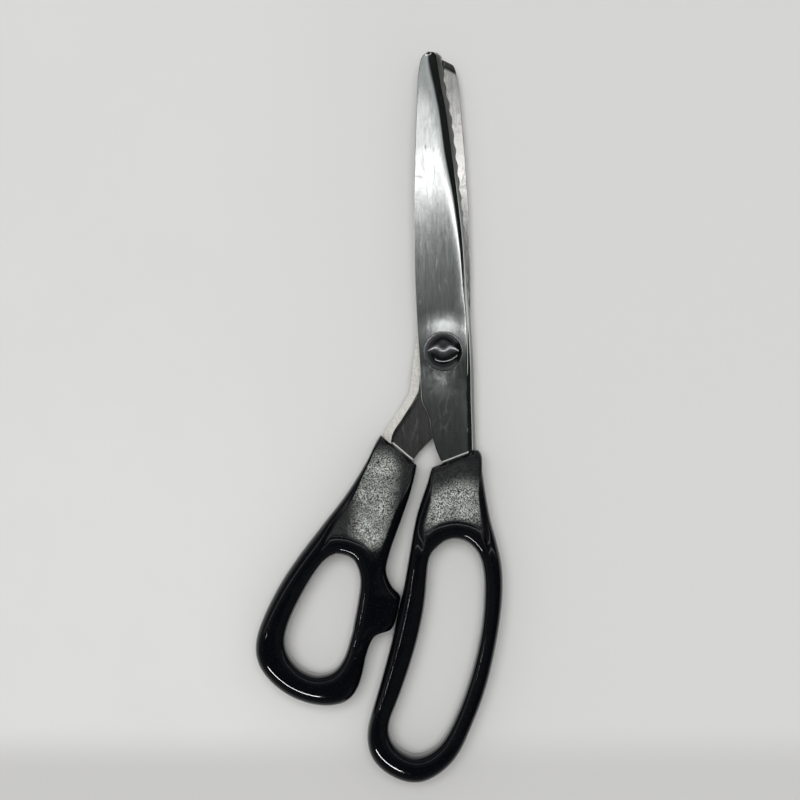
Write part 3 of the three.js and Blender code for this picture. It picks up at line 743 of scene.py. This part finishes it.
nut = turned_piece(
    "lock_nut_hexagon",
    rounded(
        [
            (SCREW_HOLE, NUT_FOOT + 1), (SCREW_HOLE, NUT_FOOT), (NUT_HALF_WIDTH, NUT_FOOT),
            (NUT_CORNER, NUT_FOOT + 0.55), (NUT_CORNER, NUT_TOP - 0.1), (5.6, NUT_TOP),
            (SCREW_HOLE, NUT_TOP), (SCREW_HOLE, NUT_FOOT + 1),
        ],
        0.12, 4,
    )[:-1],
    144, head_steel, hexagonal,
)
for made, body, node in (
    (screw, "upper_half", "pivot_screw"),
    (head_washer, "upper_half", "head_washer"),
    (blade_washer, "lower_half", "blade_washer"),
    (spring_washer, "upper_half", "spring_washer"),
    (nut, "upper_half", "lock_nut"),
):
    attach(made, body)
    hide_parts(node)

# The two handles. Each is moulded in gloss black plastic round its blade's tang: a neck with grained
# faces, a half-round ring about the hole that stands a little proud of them, and a full round bow.
HALF_HEIGHT = 6.8
FULLNESS = 0.6
RING_CREST = 3.1
RING_FOOT = 6.1
RING_STEP = 0.3
NECKS_END = -52
GRAIN_END = -69
POCKET_FROM = -19
LUG_MIDDLE = np.array([-15.0, -80.0])
MOUTH, SIDE, BOW, LUG = (0.8, 5.1), (2.6, 5.9), (5.5, 6.8), (2.6, 6.1)
# Outer edge, hole edge, and the edge's rounding and half height, clockwise from the mouth
FINGER_PLAN = [
    (-3.9, -37.8, -0.6, -62.0, *MOUTH), (-3.0, -35.8, 0.4, -61.2, *MOUTH),
    (9.0, -31.0, 3.4, -60.3, *MOUTH), (12.0, -32.2, 6.8, -60.9, *MOUTH),
    (12.8, -39, 9.0, -62.4, *SIDE), (15.2, -53.5, 11.2, -65, *SIDE),
    (18.7, -67, 12.8, -70.5, *BOW), (19.1, -79, 13.0, -80, *BOW),
    (17.4, -92.3, 11.8, -91.5, *BOW), (13.9, -107.8, 8.2, -106, *BOW),
    (9, -120.7, 3.6, -118, *BOW), (3.0, -132, -1.5, -126.5, *BOW),
    (-8.6, -138.8, -8.6, -130, *BOW), (-21.3, -133, -15.2, -126.5, *BOW),
    (-24.5, -123.3, -17.3, -120.5, *BOW), (-21.3, -110.4, -14, -111, *BOW),
    (-17.1, -94.9, -8.8, -95, *BOW), (-13.4, -79, -5.8, -81, *BOW),
    (-11.0, -65.5, -4.7, -69, *BOW), (-8.6, -52.8, -3.7, -65.2, *SIDE),
    (-5.1, -42, -1.8, -63, *SIDE),
]
THUMB_PLAN = [
    (-20.7, -27.4, -35.0, -65.4, *MOUTH), (-19.2, -26.0, -34.0, -65.2, *MOUTH),
    (-8.4, -35.0, -31.2, -65.7, *MOUTH), (-8.5, -37.2, -30.3, -66.1, *MOUTH),
    (-10.0, -44, -29.0, -67.0, *SIDE), (-13.3, -54, -27.8, -69.0, *SIDE),
    (-17.0, -64.5, -27.0, -71.8, *SIDE), (-18.1, -70.5, -26.8, -74, *LUG),
    (-16.5, -75, -27.0, -77, *LUG), (-14.0, -78.2, -27.4, -79.4, *LUG),
    (-13.95, -80.2, -27.6, -80.8, *LUG), (-15.7, -87.6, -28.9, -87.6, *LUG),
    (-16.8, -89.4, -29.2, -89.4, *LUG), (-21.8, -91.6, -30.0, -92.3, 2.9, 6.2),
    (-24.5, -97.5, -31.8, -98, 4.2, 6.5), (-26.2, -105, -34.8, -102.2, *BOW),
    (-30.2, -112, -38, -103.6, *BOW), (-39, -113.8, -41.3, -103.8, *BOW),
    (-50, -110.4, -46, -101.7, *BOW), (-58.4, -102.5, -49.6, -97.2, *BOW),
    (-60.4, -94.5, -50.6, -92, *BOW), (-57.5, -84.6, -48.4, -84.6, *BOW),
    (-50.7, -71.7, -44.5, -76.8, *BOW), (-41.3, -58.7, -41.2, -71.3, *BOW),
    (-31.3, -45.8, -38.6, -67.8, *SIDE), (-24.6, -35.0, -36.6, -66.2, *SIDE),
]


def closed_curve(knots, steps):
    """A closed Catmull-Rom curve, each span's time being the square root of its length: the cubic
    between two knots whose slopes come from the spans on either side."""
    count = len(knots)
    at = np.arange(count * steps) / steps
    k = np.floor(at).astype(int)
    w = (at - k)[:, None]
    p = [knots[(k + n) % count] for n in (-1, 0, 1, 2)]
    d = [np.linalg.norm(p[n + 1] - p[n], axis=1)[:, None] ** 0.5 for n in range(3)]
    start = ((p[1] - p[0]) / d[0] - (p[2] - p[0]) / (d[0] + d[1]) + (p[2] - p[1]) / d[1]) * d[1]
    end = ((p[2] - p[1]) / d[1] - (p[3] - p[1]) / (d[1] + d[2]) + (p[3] - p[2]) / d[2]) * d[1]
    cubic = 2 * p[1] - 2 * p[2] + start + end
    square = -3 * p[1] + 3 * p[2] - 2 * start - end
    return p[1] + start * w + square * w**2 + cubic * w**3


def softened(values, spread):
    """A closed run of samples blurred by a bell curve whose spread is a count of samples."""
    rate = np.fft.rfftfreq(len(values))
    return np.fft.irfft(np.fft.rfft(values) * np.exp(-2 * (np.pi * spread * rate) ** 2), len(values))


def distance(points, curve):
    """How far each point is from a closed curve: the least distance to any of its chords."""
    chord = np.roll(curve, -1, axis=0) - curve
    off = points[..., None, :] - curve
    t = np.clip((off * chord).sum(-1) / (chord**2).sum(-1), 0, 1)
    return np.linalg.norm(off - t[..., None] * chord, axis=-1).min(-1)


def reached(values, target):
    """The share of the way along each row of values at which they first come up to the row's target,
    in a straight line between two samples, or 1 where they never do."""
    rows, last = np.arange(len(values)), values.shape[1] - 1
    k = np.maximum(np.argmax(values >= target[:, None], axis=1), 1)
    low, high = values[rows, k - 1], values[rows, k]
    share = (k - 1 + np.clip((target - low) / (high - low + 1e-9), 0, 1)) / last
    return np.where(values.max(axis=1) >= target, share, 1.0)


def fair_edges(plan, steps):
    """The outer edge and the hole's edge as closed curves, with the rounding and the half height as
    their third values. Past the necks, each is faired by twice its blur less the blur of that, and
    the lug stays as drawn."""
    outer = closed_curve(plan[:, [0, 1, 4]], steps)
    hole = closed_curve(plan[:, [2, 3, 5]], steps)
    for curve, kept_about_lug in ((outer, 13.0), (hole, 0.1)):
        fair = np.stack([softened(curve[:, k], 5) for k in (0, 1)], axis=-1)
        fair = 2 * fair - np.stack([softened(fair[:, k], 5) for k in (0, 1)], axis=-1)
        from_lug = np.hypot(*(curve[:, :2] - LUG_MIDDLE).T)
        share = smooth((NECKS_END - curve[:, 1]) / 8) * smooth(from_lug / kept_about_lug - 1)
        curve[:, :2] += share[:, None] * (fair - curve[:, :2])
    return outer, hole


def section_widths(outer, hole):
    """How far the crest and the ring's foot lie from the hole's edge, how wide the rounding at the outer
    edge is, and the whole width. Each is where a straight line from edge to edge first gets so far
    from one of the edges, blurred round the ring."""
    reach = outer[:, :2] - hole[:, :2]
    width = np.linalg.norm(reach, axis=1)
    ray = hole[:, None, :2] + reach[:, None] * np.linspace(0, 1, 61)[:, None]
    from_hole, from_edge = distance(ray, hole[:, :2]), distance(ray, outer[:, :2])
    crest = np.minimum(reached(from_hole, np.full(len(hole), RING_CREST)), 0.5) * width
    foot = reached(from_hole, np.full(len(hole), RING_FOOT)) * width
    shoulder = softened(np.maximum(outer[:, 2], 0.8), 2)
    shoulder = np.minimum(reached(from_edge[:, ::-1], shoulder) * width, width - crest)
    crest, foot, shoulder, width = (softened(v, 3.5)[:, None] for v in (crest, foot, shoulder, width))
    foot = crest + np.clip(foot - crest, 0, (width - crest - shoulder) / 2)
    return crest, foot, shoulder, width


def upper_half_section(crest, foot, shoulder, width, neck, edge):
    """Distance from the hole's edge and height along the section's upper half: a quarter superellipse
    up to the crest, the ring sinking to its foot, the neck's face, and a quarter superellipse down to
    the outer edge."""
    face = HALF_HEIGHT - RING_STEP * neck
    rise, drop = np.linspace(0, np.pi / 2, 15)[None, :], np.linspace(np.pi / 2, 0, 15)[None, 1:]
    sink, level = np.linspace(0, 1, 10)[None, 1:], np.linspace(0, 1, 20)[None, 1:]
    d = [
        crest * (1 - np.cos(rise) ** FULLNESS),
        crest + (foot - crest) * sink,
        foot + (width - shoulder - foot) * level,
        width - shoulder * (1 - np.cos(drop) ** FULLNESS),
    ]
    z = [
        HALF_HEIGHT * np.sin(rise) ** FULLNESS + 0 * crest,
        HALF_HEIGHT - RING_STEP * neck * sink**2.5,
        face + (edge - face) * level,
        edge * np.sin(drop) ** FULLNESS,
    ]
    return np.concatenate(d, axis=1), np.concatenate(z, axis=1)


def painted_sheen_reach(xy, start, end, reach):
    """The share of the painted sheen: 1 near the line between two points, easing to a twentieth from half
    the reach to one and a half.
    """
    along = np.array(end) - np.array(start)
    off = xy - np.array(start)
    t = np.clip((off @ along) / (along @ along), 0, 1)
    off = np.linalg.norm(off - t[..., None] * along, axis=-1)
    return 0.05 + 0.95 * smooth(1.5 - off / reach)


def handle(name, plan, steps, mouth, glow, material):
    """A ring of sections between the hole's edge and the outer edge. The underside mirrors the upper
    half, and what lies past the mouth line is pressed flat on to it. The neck's faces are grained, with a
    painted sheen brightest near the glow line, and a painted highlight runs low round the hole's edge."""
    outer, hole = fair_edges(np.array(plan, dtype=float), steps)
    crest, foot, shoulder, width = section_widths(outer, hole)
    neck = smooth((5.0 - outer[:, 2:]) / 2.0)
    edge = HALF_HEIGHT - np.maximum(HALF_HEIGHT - hole[:, 2:], 0) * neck
    d, z = upper_half_section(crest, foot, shoulder, width, neck, edge)
    xy = hole[:, None, :2] + (outer - hole)[:, None, :2] * (d / width)[..., None]
    across = np.array([-mouth[2], 1.0]) / np.hypot(mouth[2], 1)
    past = (xy - np.array(mouth[:2])) @ across
    grained = smooth((d - foot + 0.2) / 1.3) * smooth((width - shoulder + 0.5 - d) / 1.8)
    grained *= smooth((width - crest - shoulder - 2.5) / 2.5)
    grained *= smooth((xy[..., 1] - GRAIN_END) / 9) * smooth((-0.8 - past) / 1.2)
    # A painted sheen on the grained faces, brightest near the glow line
    sheen = grained * painted_sheen_reach(xy, *glow) * smooth((width - shoulder + 0.4 - d) / 3.0)
    # A painted highlight low on the wall along the hole's edge
    rim = np.exp(-((z / 5.0) ** 2)) * (d < crest)
    xy = xy - np.maximum(past, 0)[..., None] * across

    def both_faces(values):
        return np.concatenate([values, values[:, -2:0:-1]], axis=1)

    grained, sheen, rim = (both_faces(v) for v in (grained, sheen, rim))
    xy = np.concatenate([xy, xy[:, -2:0:-1]], axis=1)
    z = np.concatenate([z, -z[:, -2:0:-1]], axis=1)
    points = np.concatenate([xy, z[..., None]], axis=-1)
    rows, columns = z.shape
    return piece(
        name, points.reshape(-1, 3), grid_faces(rows, columns, True), material,
        grained=grained.ravel(), sheen=sheen.ravel(), rim=rim.ravel(),
    )


def handle_plastic(name):
    """Gloss black moulding. The neck's faces are finely grained, with pale specks painted on as the
    grain's sheen, fading towards the edges, and a faint painted highlight runs low by the hole's edge;
    the rest is smooth, with faint flow waves, dust and rubbing."""
    material, tree, shader = new_material(name)
    place = millimetres(tree)
    grained, sheen, rim = (
        add(tree, "ShaderNodeAttribute", attribute_name=key).outputs["Fac"]
        for key in ("grained", "sheen", "rim")
    )
    fine = add(tree, "ShaderNodeTexNoise", {0: place}, in_2=2.4, in_3=3.0, in_4=0.7)
    patch = use(tree, clouds, place, Size=7.0)
    uneven = use(tree, clouds, place, Size=5.0)
    rub = use(tree, scratches, place, Spacing=9.0)
    dust = ramp(tree, use(tree, clouds, place, Size=0.5), 0.86, 0.99)
    colour = blend_colour(tree, patch, (0.0021, 0.0023, 0.0034, 1), (0.0028, 0.0030, 0.0042, 1))
    # Painted sheen: pale specks where the grain would catch the light
    painted_specks = maths(tree, "MULTIPLY", ramp(tree, fine.outputs[0], 0.39, 0.63), sheen)
    painted_specks = maths(tree, "MULTIPLY", painted_specks, maths(tree, "MULTIPLY_ADD", uneven, 0.5, 0.5))
    colour = blend_colour(tree, painted_specks, colour, (0.78, 0.82, 0.76, 1))
    colour = blend_colour(tree, maths(tree, "MULTIPLY", dust, 0.1), colour, (0.08, 0.08, 0.08, 1))
    # A painted highlight low by the hole's edge
    colour = blend_colour(tree, maths(tree, "MULTIPLY", rim, 0.06), colour, (0.20, 0.22, 0.22, 1))
    tree.links.new(colour, shader.inputs["Base Color"])
    shader.inputs["IOR"].default_value = 1.5
    shader.inputs["Specular IOR Level"].default_value = 0.3
    amount = maths(tree, "MULTIPLY_ADD", grained, 0.27, 0.05)
    amount = maths(tree, "MULTIPLY_ADD", patch, 0.02, amount)
    amount = maths(tree, "MULTIPLY_ADD", rub, 0.06, amount)
    tree.links.new(amount, shader.inputs["Roughness"])
    rough = maths(tree, "MULTIPLY", fine.outputs[0], grained)
    first = bump(tree, shader, rough, 0.8, 0.00018)
    bump(tree, shader, patch, 0.04, 0.0002, first)
    return material


def pocket(name, rows, side, material):
    """The room for the tang: its section with clearance all round, from the bare height just under the
    blades' parting up to just over the tang, as a loft through the plan's own rows."""
    plan = [r for r in rows if r[0] < POCKET_FROM]
    plan.append((plan[-1][0] - POCKET_CLEARANCE, *plan[-1][1:]))
    points = []
    for y, back, ridge, edge in plan:
        out = np.sign(edge - ridge)
        wide = (out * edge - out * ridge) * FACET_SHARE + out * ridge + POCKET_CLEARANCE
        low, high = HALF_GAP - POCKET_CLEARANCE, TANG_TOP + POCKET_CLEARANCE
        tip = out * edge + 0.25
        near = out * back - POCKET_CLEARANCE
        wall = [(near, high), (wide, high), (tip, low), (near, low)]
        points.append([(out * q, y, side * z) for q, z in wall])
    points = np.array(points).reshape(-1, 3)
    faces = grid_faces(len(plan), 4, False).tolist()
    faces += [[0, 1, 2, 3], [len(points) - n for n in (1, 2, 3, 4)]]
    return piece(name, points, faces, material)


plastic = handle_plastic("handle_plastic_gloss")
# The line along which each neck's painted sheen is brightest, by its two ends, and how far from it the
# sheen reaches
finger_sheen_line = ((0.0, -51.0), (6.5, -48.5), 6.5)
thumb_sheen_line = ((-20.5, -38.0), (-23.5, -57.0), 5.5)
finger = handle("finger_grip", FINGER_PLAN, 14, UPPER_MOUTH, finger_sheen_line, plastic)
thumb = handle("thumb_grip", THUMB_PLAN, 13, LOWER_MOUTH, thumb_sheen_line, plastic)
cut(finger, [pocket("finger_pocket", upper_rows, 1, plastic)])
cut(thumb, [pocket("thumb_pocket", lower_rows, -1, plastic)])
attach(finger, "upper_half")
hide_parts("finger_handle")
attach(thumb, "lower_half")
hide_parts("thumb_handle")

# The studio: a wide sheet of pale paper under soft light from far above. One long lamp gives the steel
# its bright band, and three lamps light only the screw or the handles, for the fine lines of light on
# them. The sky is dim, with a glow overhead and grey low down, which the steel mirrors from the side.
FLOOR_HALF = 6.0
AIM_Y = 0.02
floor_mesh = bpy.data.meshes.new("paper_floor")
corners = [(FLOOR_HALF * x, FLOOR_HALF * y, 0) for x, y in ((-1, -1), (1, -1), (1, 1), (-1, 1))]
floor_mesh.from_pydata(corners, [], [(0, 1, 2, 3)])
floor = bpy.data.objects.new("paper_floor", floor_mesh)
bpy.context.scene.collection.objects.link(floor)
paper, tree, shader = new_material("pale_paper")
place = millimetres(tree)
tone = use(tree, clouds, place, Size=60.0)
fibre = add(tree, "ShaderNodeTexNoise", {0: place}, in_2=1.4, in_3=3.0)
split = add(tree, "ShaderNodeSeparateXYZ", {0: place})
sheet = blend_colour(tree, tone, (0.800, 0.795, 0.778, 1), (0.785, 0.781, 0.764, 1))
# Painted shade: the paper is darker to the right and towards the top
sheet = blend_colour(tree, ramp(tree, split.outputs[0], -60.0, 10.0), sheet, (0.740, 0.737, 0.723, 1))
painted_top_shade = maths(tree, "MULTIPLY", ramp(tree, split.outputs[1], -60.0, 100.0), 0.35)
sheet = blend_colour(tree, painted_top_shade, sheet, (0.72, 0.715, 0.70, 1))
# A painted shadow darkens the paper along its bottom edge
sheet = blend_colour(tree, ramp(tree, split.outputs[1], -99.0, -116.0), sheet, (0.645, 0.64, 0.63, 1))
tree.links.new(sheet, shader.inputs["Base Color"])
shader.inputs["Roughness"].default_value = 0.85
shader.inputs["Specular IOR Level"].default_value = 0.2
bump(tree, shader, fibre.outputs[0], 0.05, 0.0001)
floor_mesh.materials.append(paper)


def long_lamp(name, middle, size, power):
    """A lamp that faces the shears' middle, its size given along X and across."""
    light = bpy.data.lights.new(name, "AREA")
    light.shape, light.size, light.size_y, light.energy = "RECTANGLE", size[0], size[1], power
    lamp = bpy.data.objects.new(name, light)
    lamp.location = middle
    lamp.rotation_euler = (-np.arctan2(middle[1] - AIM_Y, middle[2]), 0, 0)
    bpy.context.scene.collection.objects.link(lamp)
    return lamp


def far_lamp(name, energy, spread, lean):
    """Light from far above for the paper and the handles' painted specks of sheen, which leaves no
    reflection.
    It leans towards +Y and -X by the two angles, all in degrees."""
    light = bpy.data.lights.new(name, "SUN")
    light.energy, light.angle = energy, np.radians(spread)
    lamp = bpy.data.objects.new(name, light)
    lamp.rotation_euler = (-np.radians(lean[0]), -np.radians(lean[1]), 0)
    lamp.visible_glossy = False
    bpy.context.scene.collection.objects.link(lamp)


tip_lamp = long_lamp("tip_side_lamp", (0.0, 0.214, 1.22), (4.0, 0.046), 1.5)
tip_lamp.data.color = (1.0, 0.97, 0.985)
for name, middle, size, power, lit in (
    ("screw_side_lamp", (0.45, -0.27, 1.0), (1.5, 0.012), 0.46, (screw,)),
    ("bow_side_lamp", (-0.37, -0.55, 1.0), (0.55, 0.05), 5.5, (finger, thumb)),
    ("left_side_lamp", (-0.53, -0.07, 1.0), (0.03, 0.014), 0.075, (finger, thumb)),
):
    lamp = long_lamp(name, middle, size, power)
    lamp.visible_diffuse = False
    shown_on = bpy.data.collections.new(name)
    for made in lit:
        shown_on.objects.link(made)
    lamp.light_linking.receiver_collection = shown_on
far_lamp("high_light", 1.75, 36, (8, 4))
far_lamp("soft_fill", 0.72, 130, (0, 0))

world = bpy.data.worlds.new("studio_air")
bpy.context.scene.world = world
world.use_nodes = True
tree = world.node_tree
direction = tree.nodes.new("ShaderNodeTexCoord").outputs["Generated"]
split = add(tree, "ShaderNodeSeparateXYZ", {0: direction})
lean = maths(tree, "DIVIDE", split.outputs[1], maths(tree, "MAXIMUM", split.outputs[2], 0.05))
near = maths(tree, "MULTIPLY", ramp(tree, lean, -0.07, 0.11), ramp(tree, lean, 0.5, 0.11))
near = maths(tree, "MULTIPLY", near, ramp(tree, split.outputs[2], 0.6, 0.92))
glow = maths(tree, "MULTIPLY", ramp(tree, lean, 0.125, 0.16), ramp(tree, lean, 0.26, 0.18))
strength = maths(tree, "MULTIPLY_ADD", near, 0.145, 0.013)
strength = maths(tree, "MULTIPLY_ADD", maths(tree, "MULTIPLY", glow, near), 0.42, strength)
flat = add(tree, "ShaderNodeVectorMath", {0: direction}, operation="MULTIPLY", in_1=(1.0, 1.0, 0.0))
level = add(tree, "ShaderNodeVectorMath", {0: flat.outputs[0]}, operation="NORMALIZE")
right = add(tree, "ShaderNodeSeparateXYZ", {0: level.outputs[0]}).outputs[0]
low = maths(tree, "MULTIPLY", ramp(tree, split.outputs[2], 0.9, 0.75), 0.06)
low = maths(tree, "MULTIPLY_ADD", ramp(tree, split.outputs[2], 0.6, 0.35), 0.13, low)
strength = maths(tree, "MULTIPLY_ADD", low, ramp(tree, right, 0.9, 0.75), strength)
tree.links.new(strength, tree.nodes["Background"].inputs["Strength"])
tree.nodes["Background"].inputs["Color"].default_value = (0.95, 0.99, 0.99, 1)

camera_data = bpy.data.cameras.new("photo_camera")
camera = bpy.data.objects.new("photo_camera", camera_data)
CAMERA_HEIGHT = 0.70
FRAME_WIDTH = 0.25824
camera_data.sensor_width = 36.0
camera_data.lens = 36.0 * CAMERA_HEIGHT / FRAME_WIDTH
camera.location = (0.00671, 0.00571, CAMERA_HEIGHT + HALF_HEIGHT * MM)
camera_data.clip_start = 0.05
bpy.context.scene.collection.objects.link(camera)
bpy.context.scene.camera = camera
bpy.context.scene.view_settings.view_transform = "Standard"
